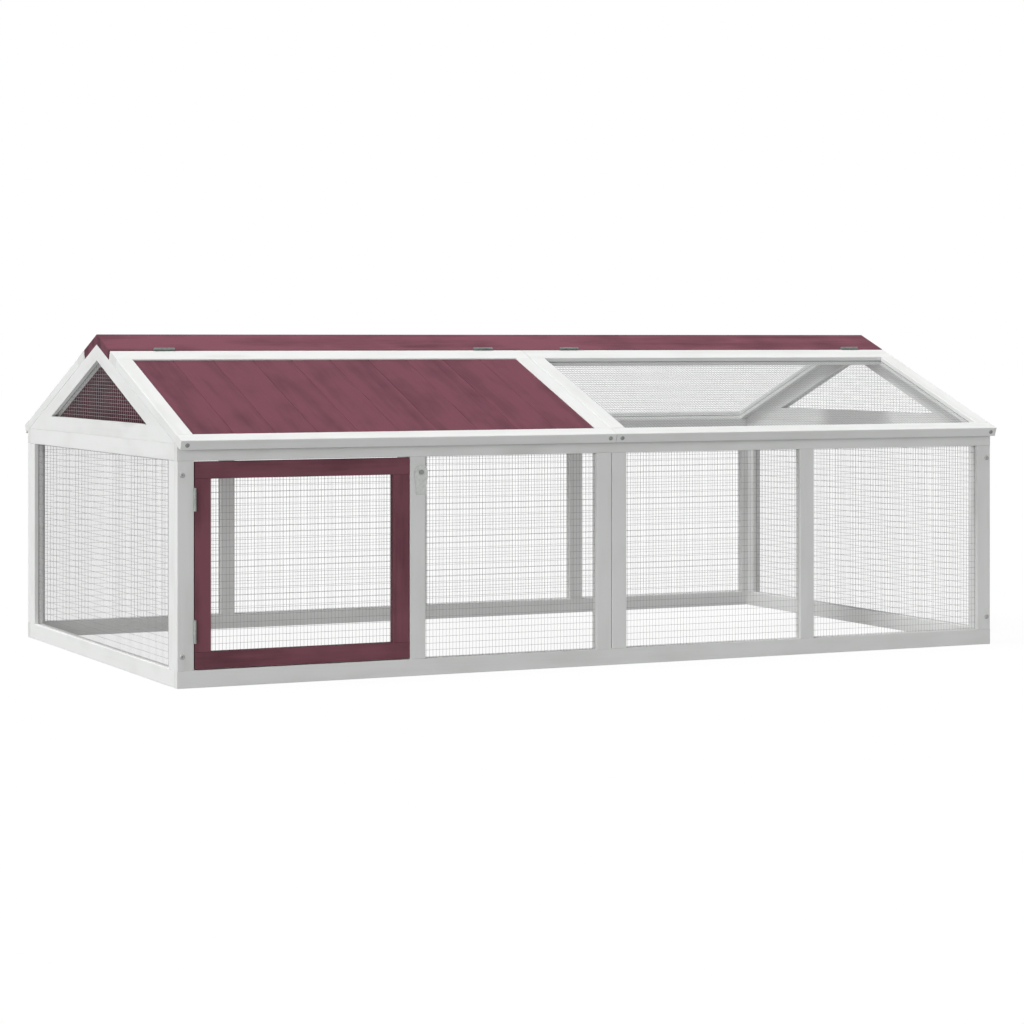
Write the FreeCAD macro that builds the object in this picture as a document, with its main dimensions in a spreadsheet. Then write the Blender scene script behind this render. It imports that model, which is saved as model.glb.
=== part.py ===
import FreeCAD, Part
import math
import os
import re
import Sketcher

# Outdoor run for small animals: mesh walls in timber frames, a gable roof of four lids hinged at
# the ridge, two of them planked and two of mesh, and a framed mesh door in the front wall.
#
# Millimetres. X runs along the ridge, to the right seen from the door side. Y runs from the door
# side to the rear, Z is up. The origin lies on the ground, under the middle of the ridge.
#
# Walls, lids and gables are drawn as seen from the front and turned about the upright axis
# through the origin, because the rear wall is the front wall turned half round.

Vector = FreeCAD.Vector
Rotation = FreeCAD.Rotation
Placement = FreeCAD.Placement

SIZES = [
    # the whole run
    ("run_length", 2000, "over the end walls, along the ridge"),
    ("run_depth", 1120, "over the front and rear walls"),
    ("wall_height", 502, "ground to the top of the walls"),
    ("roof_pitch", 20.4, "degrees, both slopes"),
    # timber
    ("timber_width", 36, "rails and stiles, seen face on"),
    ("timber_thick", 21, "walls, gables, door and lids"),
    ("edge_ease", 1, "small bevel along the long edges"),
    ("middle_seam", 1.6, "between the two stiles in the middle of a wall"),
    ("door_opening", 482, "between the corner stile and the stile the door closes on"),
    # welded wire mesh, let into a saw groove round the inside of its frame
    ("groove_width", 2, "saw groove for the mesh"),
    ("groove_depth", 8, "saw groove for mesh and planks"),
    ("let_in", 7, "how far mesh and planks go into the groove"),
    ("mesh_thick", 1.4, "two crossing wires"),
    ("mesh_wire", 1.8, "width of the bars drawn for the wires"),
    ("mesh_pitch", 7.8, "between the wires that run up"),
    ("mesh_cross_pitch", 14.2, "between the wires that run across"),
    ("mesh_share", 12, "one wire in so many is drawn"),
    ("mesh_rows", 2, "fewest cells either way"),
    # gables
    ("gable_width", 33, "base rail and rafters, seen face on"),
    ("gable_toe", 1.5, "blunt tip at the foot of the gable"),
    # roof
    ("ridge_board_width", 95, "down the slope, underside"),
    ("lid_seam", 3, "between ridge board and lid, filled by the hinge leaves"),
    ("lid_overhang", 20.5, "lid past the face of the wall, down the slope"),
    ("lid_upper_rail", 52, "lid member next to the ridge"),
    ("lid_lower_rail", 35, "lid member at the eaves"),
    ("lid_rest_gap", 0.4, "between lid and rafters when it lies closed"),
    ("lid_pair_gap", 1, "between the two lids of a slope"),
    ("lid_hinge_first", 124, "lid's left end to the middle of its first hinge"),
    ("lid_hinge_last", 99, "lid's right end to the middle of its last hinge"),
    # tongue-and-groove planks of the closed lids
    ("plank_count", 10, "planks in a lid"),
    ("plank_thick", 9, "plank"),
    ("plank_recess", 3.3, "plank face below the face of the lid"),
    ("plank_gap", 0.3, "between neighbouring planks, and round them"),
    ("plank_vee", 1.6, "bevel along both edges of a plank's upper face"),
    ("tongue_thick", 3, "tongue of a plank"),
    ("tongue_length", 3.5, "tongue of a plank"),
    # door
    ("door_gap", 2, "all round the door"),
    ("door_timber", 35, "rails and stiles of the door"),
    ("door_hinge_offset", 135.5, "middle of the door to the middle of a hinge"),
    # butt hinges, of one size for door and lids
    ("hinge_length", 48, "over the knuckles"),
    ("hinge_knuckles", 3, "the outer ones on the fixed leaf"),
    ("knuckle_radius", 3, "outside of the knuckles"),
    ("pin_radius", 1.5, "hinge pin, riveted into the outer knuckles"),
    ("pin_play", 0.05, "round the pin, in the radius"),
    ("knuckle_play", 0.3, "between knuckles, along and round the pin"),
    ("leaf_thick", 0.8, "hinge leaf"),
    ("leaf_depth", 17, "how far a leaf reaches into the gap"),
    ("knuckle_stand", 3.6, "pin in front of the face of the timber"),
    # turn button that holds the door, shown turned down, off the door
    ("button_drop", 69, "top of the wall to its screw"),
    ("button_inset", 25, "door opening to its screw"),
    ("button_reach", 47.5, "screw to the end of the tab"),
    ("button_tab", 23.5, "width of the tab"),
    ("button_corner", 1.5, "corners of the tab"),
    ("button_neck", 28, "screw to where the tab widens"),
    ("button_shoulder", 12, "screw to where it is widest"),
    ("button_head", 15, "radius round the screw"),
    ("button_thick", 2, "plate"),
    ("button_clear", 0.5, "in front of the timber, and under the screw's head"),
    ("button_screw_radius", 2.4, "shank"),
    ("button_screw_play", 0.05, "round the shank, in the radius"),
    ("button_screw_length", 18, "in the timber"),
    ("button_screw_head", 5, "radius of the head"),
    ("button_screw_head_height", 2.4, "height of the head"),
]

doc = FreeCAD.newDocument("AnimalRun")
sheet = doc.addObject("Spreadsheet::Sheet", "Sizes")
for row, (alias, amount, meaning) in enumerate(SIZES, start=1):
    sheet.set(f"A{row}", alias)
    sheet.set(f"B{row}", str(amount))
    sheet.setAlias(f"B{row}", alias)
    sheet.set(f"C{row}", meaning)
doc.recompute()

ALIASES = {alias for alias, amount, meaning in SIZES}


def bound(text):
    """Turns words such as run_length / 2 into an expression on the sheet's cells."""
    return re.sub(r"[a-z_]+", lambda m: "Sizes." + m.group() if m.group() in ALIASES else m.group(), text)


def amount(text):
    """The number that such an expression has now."""
    return float(sheet.evalExpression(bound(text)))


# Places that several pieces share, as expressions on the sheet
LEFT = "(-run_length / 2)"
FRONT = "(-run_depth / 2)"
END = "(-run_length / 2)"
HALF_SPAN = "(run_depth / 2 - timber_thick)"
TOP_RAIL = "(wall_height - timber_width)"
PANE_LOW = "timber_width"
ROOF_TOP = f"(wall_height + gable_toe + {HALF_SPAN} * tan(roof_pitch))"
DOOR_LEFT = f"({LEFT} + timber_width + door_gap)"
DOOR_RIGHT = f"({LEFT} + timber_width + door_opening - door_gap)"
DOOR_LOW = f"({PANE_LOW} + door_gap)"
DOOR_HIGH = f"({TOP_RAIL} - door_gap)"
LID_TOP = "(lid_rest_gap + timber_thick)"
LID_UPPER = "(-ridge_board_width - lid_seam)"
LID_LOWER = "(-run_depth / 2 / cos(roof_pitch) - lid_overhang)"
LID_LENGTH = "((run_length - lid_pair_gap) / 2)"
HINGE_SEAM = "(-ridge_board_width - lid_seam / 2)"
HINGE_RISE = f"({LID_TOP} + knuckle_stand)"
BUTTON_X = f"({LEFT} + timber_width + door_opening + button_inset)"
BUTTON_HEIGHT = "(wall_height - button_drop)"

FRONT_TURN, RIGHT_TURN, REAR_TURN, LEFT_TURN = 0, 90, 180, 270

sub_parts = []


def set_place(item, x="0", y="0", z="0", axis=None, angle="0"):
    """Binds an object's place to the sizes, with a turn about one axis."""
    if axis is not None:
        item.Placement = Placement(Vector(), Rotation(axis, 1))
        item.setExpression("Placement.Rotation.Angle", bound(angle))
    for letter, text in zip("xyz", (x, y, z)):
        item.setExpression(f"Placement.Base.{letter}", bound(text))
    return item


def link(item, **place):
    """One more copy of a piece, at its own place."""
    copy = doc.addObject("App::Link", item.Name + "Copy")
    copy.LinkedObject = item
    return set_place(copy, **place)


def group(name, pieces, **place):
    """Holds separate solids together and places them as one."""
    joined = doc.addObject("Part::Compound", name)
    joined.Links = pieces
    return set_place(joined, **place)


def sub_part(label, pieces, turn=FRONT_TURN):
    """A named piece of the run, written to its own file, turned to its side of the run."""
    node = group(label.title().replace("_", ""), pieces)
    node.Placement = Placement(Vector(), Rotation(Vector(0, 0, 1), turn))
    node.Label = label
    sub_parts.append(node)
    return node


def cut(name, base, tools):
    """Takes the tools away from the base."""
    result = doc.addObject("Part::Cut", name)
    result.Base = base
    result.Tool = group(name + "Tools", tools)
    return result


# Timber: an outline drawn in a sketch and padded to length


def outline(body, role, corners):
    """Sketches a closed outline of straight lines, its corners bound to the sizes."""
    sketch = body.newObject("Sketcher::SketchObject", body.Name + "Outline")
    plane = next(item for item in body.Origin.OriginFeatures if item.Role == role)
    sketch.AttachmentSupport = (plane, [""])
    sketch.MapMode = "FlatFace"
    points = [Vector(amount(across), amount(up), 0) for across, up in corners]
    for index, point in enumerate(points):
        following = points[(index + 1) % len(points)]
        sketch.addGeometry(Part.LineSegment(point, following), False)
    for index in range(len(points)):
        sketch.addConstraint(Sketcher.Constraint("Coincident", index, 2, (index + 1) % len(points), 1))
    for index, (corner, point) in enumerate(zip(corners, points)):
        for kind, text, now in zip(("DistanceX", "DistanceY"), corner, (point.x, point.y)):
            number = sketch.addConstraint(Sketcher.Constraint(kind, -1, 1, index, 1, now))
            sketch.setExpression(f"Constraints[{number}]", bound(text))
    return sketch


def padded(name, role, corners, length, **place):
    """A bar with the given outline, made upright (XY) or along X (YZ)."""
    body = doc.addObject("PartDesign::Body", name)
    pad = body.newObject("PartDesign::Pad", name + "Pad")
    pad.Profile = outline(body, role, corners)
    pad.setExpression("Length", bound(length))
    return set_place(body, **place)


def eased(width, height):
    """Corners of a rectangle with its four edges eased."""
    return [("edge_ease", "0"), (f"{width} - edge_ease", "0"), (width, "edge_ease"),
            (width, f"{height} - edge_ease"), (f"{width} - edge_ease", height),
            ("edge_ease", height), ("0", f"{height} - edge_ease"), ("0", "edge_ease")]


def rail(name, length, height="timber_width", **place):
    """A timber along X, its wide face to the front."""
    return padded(name, "YZ_Plane", eased("timber_thick", height), length, **place)


def stile(name, length, width="timber_width", **place):
    """An upright timber, its wide face to the front."""
    return padded(name, "XY_Plane", eased(width, "timber_thick"), length, **place)


def bevelled_rail(name, length, **place):
    """A top rail planed to the slope of the roof along its outer edge."""
    outer = "timber_width + gable_toe - timber_thick * tan(roof_pitch)"
    corners = [("edge_ease", "0"), ("timber_thick - edge_ease", "0"), ("timber_thick", "edge_ease"),
               ("timber_thick", "timber_width"),
               ("timber_thick - gable_toe / tan(roof_pitch)", "timber_width"),
               ("0", outer), ("0", "edge_ease")]
    return padded(name, "YZ_Plane", corners, length, **place)


def block(name, length, width, height, **place):
    """A plain box, used to cut grooves."""
    box = doc.addObject("Part::Box", name)
    for side, text in zip(("Length", "Width", "Height"), (length, width, height)):
        box.setExpression(side, bound(text))
    return set_place(box, **place)


def hole(name, radius, length, **place):
    """A round bar along Z, used to drill."""
    bar = doc.addObject("Part::Cylinder", name)
    bar.setExpression("Radius", bound(radius))
    bar.setExpression("Height", bound(length))
    return set_place(bar, **place)


# Welded mesh: one thin sheet with openings. The real mesh has a wire every 8 mm, and every 14 mm
# across them, so only a share of its wires is drawn, at the same proportions.


def cell_count(width, pitch):
    """How many drawn cells fit side by side."""
    return max(int(amount("mesh_rows")), round(width / (pitch * amount("mesh_share"))))


def mesh_sheet(name, opening):
    """The mesh in an opening given by its corners (x, z), let into the groove all round."""
    wire = amount("mesh_wire")
    thick = amount("mesh_thick")
    middle = amount("timber_thick / 2 - mesh_thick / 2")
    corners = [Vector(amount(x), middle, amount(z)) for x, z in opening]
    rim = Part.Face(Part.makePolygon(corners + corners[:1]))
    sheet_face = rim.makeOffset2D(amount("let_in"), 2)
    box = rim.BoundBox
    across = cell_count(box.XLength, amount("mesh_pitch"))
    up = cell_count(box.ZLength, amount("mesh_cross_pitch"))
    pitch_x = (box.XLength + wire) / across
    pitch_z = (box.ZLength + wire) / up
    cells = []
    for column in range(across):
        for level in range(up):
            low = Vector(box.XMin + column * pitch_x, middle, box.ZMin + level * pitch_z)
            cell = Part.makePlane(pitch_x - wire, pitch_z - wire, low, Vector(0, -1, 0), Vector(1, 0, 0))
            cells.extend(face for face in cell.common(rim).Faces if face.Area > wire * wire)
    holed = sheet_face.cut(Part.makeCompound(cells))
    feature = doc.addObject("Part::Feature", name)
    feature.Shape = holed.extrude(Vector(0, thick, 0)).Solids[0]
    return feature


def rectangle(x_low, x_high, z_low, z_high):
    return [(x_low, z_low), (x_high, z_low), (x_high, z_high), (x_low, z_high)]


def groove(name, x_low, x_high, z_low, z_high, width="groove_width", start="(timber_thick - groove_width) / 2"):
    """The saw groove round an opening, as one flat block that reaches into the timber all round."""
    return block(name, f"{x_high} - {x_low} + 2 * groove_depth", width, f"{z_high} - {z_low} + 2 * groove_depth",
                 x=f"{x_low} - groove_depth", y=start, z=f"{z_low} - groove_depth")


X_AXIS = Vector(1, 0, 0)


def long_wall(side, turn, with_door):
    """Front or rear wall: two long rails, six stiles and the mesh in the panes between them."""
    half_pane = f"({LEFT} + run_length / 4 - timber_width / 2)"
    door_stile = f"({LEFT} + timber_width + door_opening)"
    stiles_at = [LEFT, door_stile, "-timber_width - middle_seam / 2", "middle_seam / 2",
                 f"-{half_pane} - timber_width", f"-{LEFT} - timber_width"]
    gaps_between = list(zip(stiles_at, stiles_at[1:]))
    seam, door_bay = gaps_between[2], gaps_between[0]
    panes = [(f"({gap[0]} + timber_width)", f"({gap[1]})") for gap in gaps_between
             if gap != seam and not (with_door and gap == door_bay)]
    grooves = [groove(f"{side}Groove", low, high, PANE_LOW, TOP_RAIL) for low, high in panes]
    rails = [rail(f"{side}BottomRail", "run_length", x=LEFT),
             bevelled_rail(f"{side}TopRail", "run_length", x=LEFT, z=TOP_RAIL)]
    stiles = [stile(f"{side}Stile", f"{TOP_RAIL} - timber_width", x=start, z=PANE_LOW) for start in stiles_at]
    drills = []
    if with_door:
        drills.append(hole(f"{side}ButtonDrill", "button_screw_radius + button_screw_play",
                           "button_screw_length + button_screw_play", x=BUTTON_X,
                           y="button_screw_length + button_screw_play", z=BUTTON_HEIGHT, axis=X_AXIS, angle="90"))
    meshes = [mesh_sheet(f"{side}Mesh", rectangle(low, high, PANE_LOW, TOP_RAIL)) for low, high in panes]
    rails_cut = cut(f"{side}RailsCut", group(f"{side}RailPair", rails), grooves)
    stiles_cut = cut(f"{side}StilesCut", group(f"{side}StileSet", stiles), grooves + drills)
    for label, piece in (("rails", [rails_cut]), ("stiles", [stiles_cut]), ("mesh", meshes)):
        moved = group(f"{side}{label}Place", piece, y=FRONT)
        sub_part(f"{side.lower()}_{label}", [moved], turn)


def end_wall(side, turn):
    """End wall between the front and the rear wall."""
    start = f"(-{HALF_SPAN})"
    low, high = f"({start} + timber_width)", f"(-{start} - timber_width)"
    edge = groove(f"{side}Groove", low, high, PANE_LOW, TOP_RAIL)
    rails = [rail(f"{side}BottomRail", f"2 * {HALF_SPAN}", x=start),
             rail(f"{side}TopRail", f"2 * {HALF_SPAN}", x=start, z=TOP_RAIL)]
    stiles = [stile(f"{side}Stile", f"{TOP_RAIL} - timber_width", x=place, z=PANE_LOW) for place in (start, high)]
    rails_cut = cut(f"{side}RailsCut", group(f"{side}RailPair", rails), [edge])
    stiles_cut = cut(f"{side}StilesCut", group(f"{side}StilePair", stiles), [edge])
    mesh = mesh_sheet(f"{side}Mesh", rectangle(low, high, PANE_LOW, TOP_RAIL))
    for label, piece in (("rails", rails_cut), ("stiles", stiles_cut), ("mesh", mesh)):
        moved = group(f"{side}{label}Place", [piece], y=END)
        sub_part(f"{side.lower()}_{label}", [moved], turn)


def gable(side, turn):
    """Three-cornered frame on an end wall: base rail, two rafters mitred at the top, and mesh."""
    rise = "tan(roof_pitch)"
    base_top = "(wall_height + gable_width)"
    half_base_top = f"({HALF_SPAN} - (gable_width - gable_toe) / {rise})"
    inner_top = f"({ROOF_TOP} - gable_width / cos(roof_pitch))"
    inner_half = f"(({inner_top} - {base_top}) / {rise})"
    flat = dict(axis=X_AXIS, angle="90", y="timber_thick")
    base = padded(f"{side}GableBase", "XY_Plane",
                  [(f"-{HALF_SPAN}", "wall_height"), (HALF_SPAN, "wall_height"),
                   (HALF_SPAN, "wall_height + gable_toe"), (half_base_top, base_top),
                   (f"-{half_base_top}", base_top), (f"-{HALF_SPAN}", "wall_height + gable_toe")],
                  "timber_thick", **flat)
    rafters = [padded(f"{side}Rafter", "XY_Plane",
                      [(f"{sign}{half_base_top}", base_top), (f"{sign}{inner_half}", base_top),
                       ("0", inner_top), ("0", ROOF_TOP)], "timber_thick", **flat) for sign in ("-", "")]
    deep = "groove_depth"
    spread = f"({deep} / {rise} + {deep} / sin(roof_pitch))"
    slot = padded(f"{side}GableGroove", "XY_Plane",
                  [(f"-{inner_half} - {spread}", f"{base_top} - {deep}"),
                   (f"{inner_half} + {spread}", f"{base_top} - {deep}"),
                   ("0", f"{inner_top} + {deep} / cos(roof_pitch)")], "groove_width",
                  axis=X_AXIS, angle="90", y="(timber_thick + groove_width) / 2")
    mesh = mesh_sheet(f"{side}GableMesh", [(f"-{inner_half}", base_top), (inner_half, base_top), ("0", inner_top)])
    base_cut = cut(f"{side}GableBaseCut", base, [slot])
    rafters_cut = cut(f"{side}RaftersCut", group(f"{side}RafterPair", rafters), [slot])
    for label, piece in (("base", base_cut), ("rafters", rafters_cut), ("mesh", mesh)):
        moved = group(f"{side}Gable{label}Place", [piece], y=END)
        sub_part(f"{side.lower()}_gable_{label}", [moved], turn)


long_wall("Front", FRONT_TURN, True)
long_wall("Rear", REAR_TURN, False)
end_wall("Left", LEFT_TURN)
end_wall("Right", RIGHT_TURN)
gable("Left", LEFT_TURN)
gable("Right", RIGHT_TURN)

# Butt hinge, drawn with its pin along Z from the origin: the fixed leaf on the left of the gap,
# the moving leaf on the right of it, both reaching back along Y. Its gap is that of its seam.


def hinge(name, gap):
    """Fixed leaf with its riveted pin, and moving leaf, of a hinge in a gap of the given width."""
    knuckles = int(amount("hinge_knuckles"))
    share = "(hinge_length / hinge_knuckles)"
    leaves = []
    for kind, parity, edge in (("Fixed", 0, f"-({gap}) / 2"), ("Moving", 1, f"({gap}) / 2 - leaf_thick")):
        plate = block(f"{name}{kind}Plate", "leaf_thick", "knuckle_stand + leaf_depth", "hinge_length", x=edge)
        rolls, room = [], []
        for index in range(knuckles):
            if index % 2 == parity:
                rolls.append(hole(f"{name}{kind}Roll", "knuckle_radius", f"{share} - knuckle_play",
                                  z=f"{index} * {share} + knuckle_play / 2"))
            else:
                room.append(block(f"{name}{kind}Notch", "leaf_thick", "knuckle_radius + knuckle_play", share,
                                  x=edge, z=f"{index} * {share}"))
        solid = doc.addObject("Part::MultiFuse", f"{name}{kind}Solid")
        solid.Shapes = [cut(f"{name}{kind}Trimmed", plate, room)] + rolls
        leaves.append(solid)
    pin = hole(f"{name}Pin", "pin_radius", "hinge_length - knuckle_play", z="knuckle_play / 2")
    bore = hole(f"{name}Bore", "pin_radius + pin_play", "hinge_length")
    pinned = doc.addObject("Part::MultiFuse", f"{name}FixedLeaf")
    pinned.Shapes = [leaves[0], pin]
    return pinned, cut(f"{name}MovingLeaf", leaves[1], [bore])


door_fixed, door_moving = hinge("DoorHinge", "door_gap")
lid_fixed, lid_moving = hinge("LidHinge", "lid_seam")

# Door: two stiles between two rails, mesh between them, hinged on the left
door_inner = (f"({DOOR_LEFT} + door_timber)", f"({DOOR_RIGHT} - door_timber)",
              f"({DOOR_LOW} + door_timber)", f"({DOOR_HIGH} - door_timber)")
door_rails = [rail("DoorRail", f"{DOOR_RIGHT} - {DOOR_LEFT}", height="door_timber", x=DOOR_LEFT, z=place)
              for place in (DOOR_LOW, door_inner[3])]
door_stiles = [stile("DoorStile", f"{door_inner[3]} - {door_inner[2]}", width="door_timber", x=place,
                     z=door_inner[2]) for place in (DOOR_LEFT, door_inner[1])]
door_groove = groove("DoorGroove", *door_inner)
for label, piece in (("rails", cut("DoorRailsCut", group("DoorRailPair", door_rails), [door_groove])),
                     ("stiles", cut("DoorStilesCut", group("DoorStilePair", door_stiles), [door_groove])),
                     ("mesh", mesh_sheet("DoorMesh", rectangle(*door_inner)))):
    sub_part(f"door_{label}", [group(f"Door{label}Place", [piece], y=FRONT)])

door_axis = dict(x=f"{LEFT} + timber_width + door_gap / 2", y=f"{FRONT} - knuckle_stand")
hinge_starts = [f"({DOOR_LOW} + {DOOR_HIGH}) / 2 {sign} door_hinge_offset - hinge_length / 2" for sign in "-+"]
for label, piece in (("fixed_leaves", door_fixed), ("moving_leaves", door_moving)):
    sub_part(f"door_hinge_{label}", [link(piece, z=start, **door_axis) for start in hinge_starts])

# Turn button: a plate that is round about its screw and square at the tab, hanging from the screw
button = doc.addObject("PartDesign::Body", "TurnButton")
button_pad = button.newObject("PartDesign::Pad", "TurnButtonPad")
button_pad.Profile = outline(button, "XY_Plane",
                             [("button_corner - button_tab / 2", "-button_reach"),
                              ("button_tab / 2 - button_corner", "-button_reach"),
                              ("button_tab / 2", "button_corner - button_reach"),
                              ("button_tab / 2", "-button_neck"), ("button_head", "-button_shoulder"),
                              ("button_head", "0"), ("-button_head", "0"),
                              ("-button_head", "-button_shoulder"), ("-button_tab / 2", "-button_neck"),
                              ("-button_tab / 2", "button_corner - button_reach")])
button_pad.setExpression("Length", bound("button_thick"))
button_round = hole("TurnButtonRound", "button_head", "button_thick")
button_whole = doc.addObject("Part::MultiFuse", "TurnButtonWhole")
button_whole.Shapes = [button, button_round]
button_hole = hole("TurnButtonHole", "button_screw_radius + button_screw_play", "button_thick")
button_plate = cut("TurnButtonPlate", button_whole, [button_hole])
facing = dict(x=BUTTON_X, z=BUTTON_HEIGHT, axis=X_AXIS, angle="90")

# Its screw: a flat head on a shank, with the head up
screw_end = "(button_clear + button_thick + button_clear + button_screw_length)"
button_screw = doc.addObject("Part::MultiFuse", "ButtonScrew")
button_screw.Shapes = [hole("ButtonScrewHead", "button_screw_head", "button_screw_head_height"),
                       hole("ButtonScrewShank", "button_screw_radius", screw_end, z=f"-{screw_end}")]
sub_part("turn_button", [group("TurnButtonPlace", [button_plate], y=f"{FRONT} - button_clear", **facing)])
sub_part("turn_button_screw", [group("ButtonScrewPlace", [button_screw],
                                     y=f"{FRONT} - button_thick - 2 * button_clear", **facing)])

# Roof. A slope is drawn flat, with X along the ridge, Y up the slope to the ridge line at 0 and
# Z out of the roof from the top of the rafters, and then tilted up about the ridge line.


def on_slope(name, pieces):
    """Tilts pieces drawn flat to the pitch of the roof."""
    return group(name, pieces, z=ROOF_TOP, axis=X_AXIS, angle="roof_pitch")


def flat_bar(name, x, y_low, y_high, width, z="lid_rest_gap"):
    """A lid timber that runs up the slope."""
    return stile(name, f"{y_high} - {y_low}", width=width, x=x, y=y_low, z=f"{z} + timber_thick",
                 axis=X_AXIS, angle="-90")


def plank(name, width, length, first, last):
    """One tongue-and-groove plank up the slope: tongue on the right, groove on the left."""
    low = "(plank_thick - tongue_thick) / 2"
    high = "(plank_thick + tongue_thick) / 2"
    slack = "plank_gap"
    corners = [("plank_vee", "0"), (f"{width} - plank_vee", "0"), (width, "plank_vee")]
    if not last:
        corners += [(width, low), (f"{width} + tongue_length", low), (f"{width} + tongue_length", high),
                    (width, high)]
    corners += [(width, "plank_thick"), ("0", "plank_thick")]
    if not first:
        corners += [("0", f"{high} + {slack} / 2"), (f"tongue_length + {slack}", f"{high} + {slack} / 2"),
                    (f"tongue_length + {slack}", f"{low} - {slack} / 2"), ("0", f"{low} - {slack} / 2")]
    corners += [("0", "plank_vee")]
    return padded(name, "XY_Plane", corners, length)


def lid(slope, half, turn, planked):
    """A lid: two long rails, two side members, planks or mesh, and its hinges."""
    name = f"{slope}{half}Lid"
    label = f"{slope.lower()}_{half.lower()}_lid"
    low = LEFT if turn == (FRONT_TURN if half == "Left" else REAR_TURN) else "(lid_pair_gap / 2)"
    high = f"({low} + {LID_LENGTH})"
    side_low, side_high = f"({low} + timber_width)", f"({high} - timber_width)"
    y_low, y_high = f"({LID_LOWER} + lid_lower_rail)", f"({LID_UPPER} - lid_upper_rail)"

    rails = [padded(f"{name}Rail", "YZ_Plane", eased(width, "timber_thick"), LID_LENGTH, x=low, y=start,
                    z="lid_rest_gap")
             for width, start in (("lid_lower_rail", LID_LOWER), ("lid_upper_rail", y_high))]
    sides = [flat_bar(f"{name}Side", x, y_low, y_high, "timber_width") for x in (low, side_high)]
    if planked:
        slot_thick = "(plank_thick + plank_gap)"
        slot_low = f"({LID_TOP} - plank_recess - plank_thick - plank_gap / 2)"
    else:
        slot_thick = "groove_width"
        slot_low = "(lid_rest_gap + (timber_thick - groove_width) / 2)"
    slot = block(f"{name}Groove", f"{side_high} - {side_low} + 2 * groove_depth",
                 f"{y_high} - {y_low} + 2 * groove_depth", slot_thick,
                 x=f"{side_low} - groove_depth", y=f"{y_low} - groove_depth", z=slot_low)
    if planked:
        count = int(amount("plank_count"))
        span = f"(({side_high} - {side_low}) / plank_count)"
        infill = []
        for index in range(count):
            first, last = index == 0, index == count - 1
            start = f"({side_low} - let_in)" if first else f"({side_low} + {index} * {span} + plank_gap / 2)"
            end = f"({side_high} + let_in)" if last else f"({side_low} + {index + 1} * {span} - plank_gap / 2)"
            piece = plank(f"{name}Plank", f"({end} - {start})", f"{y_high} - {y_low} + 2 * let_in", first, last)
            infill.append(set_place(piece, x=start, y=f"{y_low} - let_in", z=f"{LID_TOP} - plank_recess",
                                    axis=X_AXIS, angle="-90"))
    else:
        flat_mesh = mesh_sheet(f"{name}Mesh", rectangle(side_low, side_high, y_low, y_high))
        infill = [group(f"{name}MeshFlat", [flat_mesh], z="lid_rest_gap + timber_thick", axis=X_AXIS, angle="-90")]

    pieces = {
        "rails": [cut(f"{name}RailsCut", group(f"{name}RailPair", rails), [slot])],
        "sides": [cut(f"{name}SidesCut", group(f"{name}SidePair", sides), [slot])],
        "planks" if planked else "mesh": infill,
    }
    middles = (f"{low} + lid_hinge_first", f"{high} - lid_hinge_last")
    for kind, master in (("hinge_fixed_leaves", lid_fixed), ("hinge_moving_leaves", lid_moving)):
        pieces[kind] = [lid_hinge_piece(master, middle) for middle in middles]
    for kind, solids in pieces.items():
        sub_part(f"{label}_{kind}", [on_slope(f"{name}{kind}Slope", solids)], turn)


def lid_hinge_piece(master, middle):
    """A hinge piece laid along the seam: pin along X, moving side down the slope, leaves inwards."""
    copy = link(master, x=f"{middle} - hinge_length / 2", y=HINGE_SEAM, z=HINGE_RISE)
    laid = Rotation(Vector(0, -1, 0), Vector(0, 0, -1), Vector(1, 0, 0), "XYZ")
    copy.Placement = Placement(copy.Placement.Base, laid)
    return copy


for slope, turn in (("Front", FRONT_TURN), ("Rear", REAR_TURN)):
    for half, planked in (("Left", True), ("Right", False)):
        lid(slope, half, turn, planked)

# Ridge boards, mitred where they meet above the ridge line
for slope, turn in (("front", FRONT_TURN), ("rear", REAR_TURN)):
    board = padded(f"{slope.title()}RidgeBoard", "YZ_Plane",
                   [("-ridge_board_width", "0"), ("0", "0"), ("timber_thick * tan(roof_pitch)", "timber_thick"),
                    ("-ridge_board_width + edge_ease", "timber_thick"),
                    ("-ridge_board_width", "timber_thick - edge_ease")],
                   "run_length", x=LEFT)
    sub_part(f"{slope}_ridge_board", [on_slope(f"{slope.title()}RidgeSlope", [board])], turn)

doc.recompute()


faults = [item.Name for item in doc.Objects if "Invalid" in item.State or "Error" in item.State]
for node in sub_parts:
    if node.Shape.isNull() or not node.Shape.isValid():
        faults.append(node.Label)
if faults:
    raise RuntimeError("These did not build: " + ", ".join(sorted(set(faults))))

os.makedirs("parts", exist_ok=True)
for node in sub_parts:
    node.Shape.exportStep(f"parts/{node.Label}.step")
box = Part.makeCompound([node.Shape for node in sub_parts]).BoundBox
print(len(sub_parts), "sub-parts,", sum(len(node.Shape.Solids) for node in sub_parts), "solids")
gaps = 0
for node in sub_parts:
    if node.Label.endswith("mesh"):
        for solid in node.Shape.Solids:
            gaps += len(max(solid.Faces, key=lambda face: face.Area).Wires) - 1
print(gaps, "gaps in the mesh")
hinge_y = amount(f"{HINGE_SEAM} * cos(roof_pitch) - {HINGE_RISE} * sin(roof_pitch)")
hinge_z = amount(f"{ROOF_TOP} + {HINGE_SEAM} * sin(roof_pitch) + {HINGE_RISE} * cos(roof_pitch)")
print(f"front lid hinge axis: y {hinge_y:.4f} z {hinge_z:.4f}")
print("door hinge axis: x", amount(door_axis["x"]), "y", amount(door_axis["y"]))
print("button axis: x", amount(BUTTON_X), "z", amount(BUTTON_HEIGHT))
print(f"box X {box.XMin:.2f} {box.XMax:.2f}  Y {box.YMin:.2f} {box.YMax:.2f}  Z {box.ZMin:.2f} {box.ZMax:.2f}")
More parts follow.
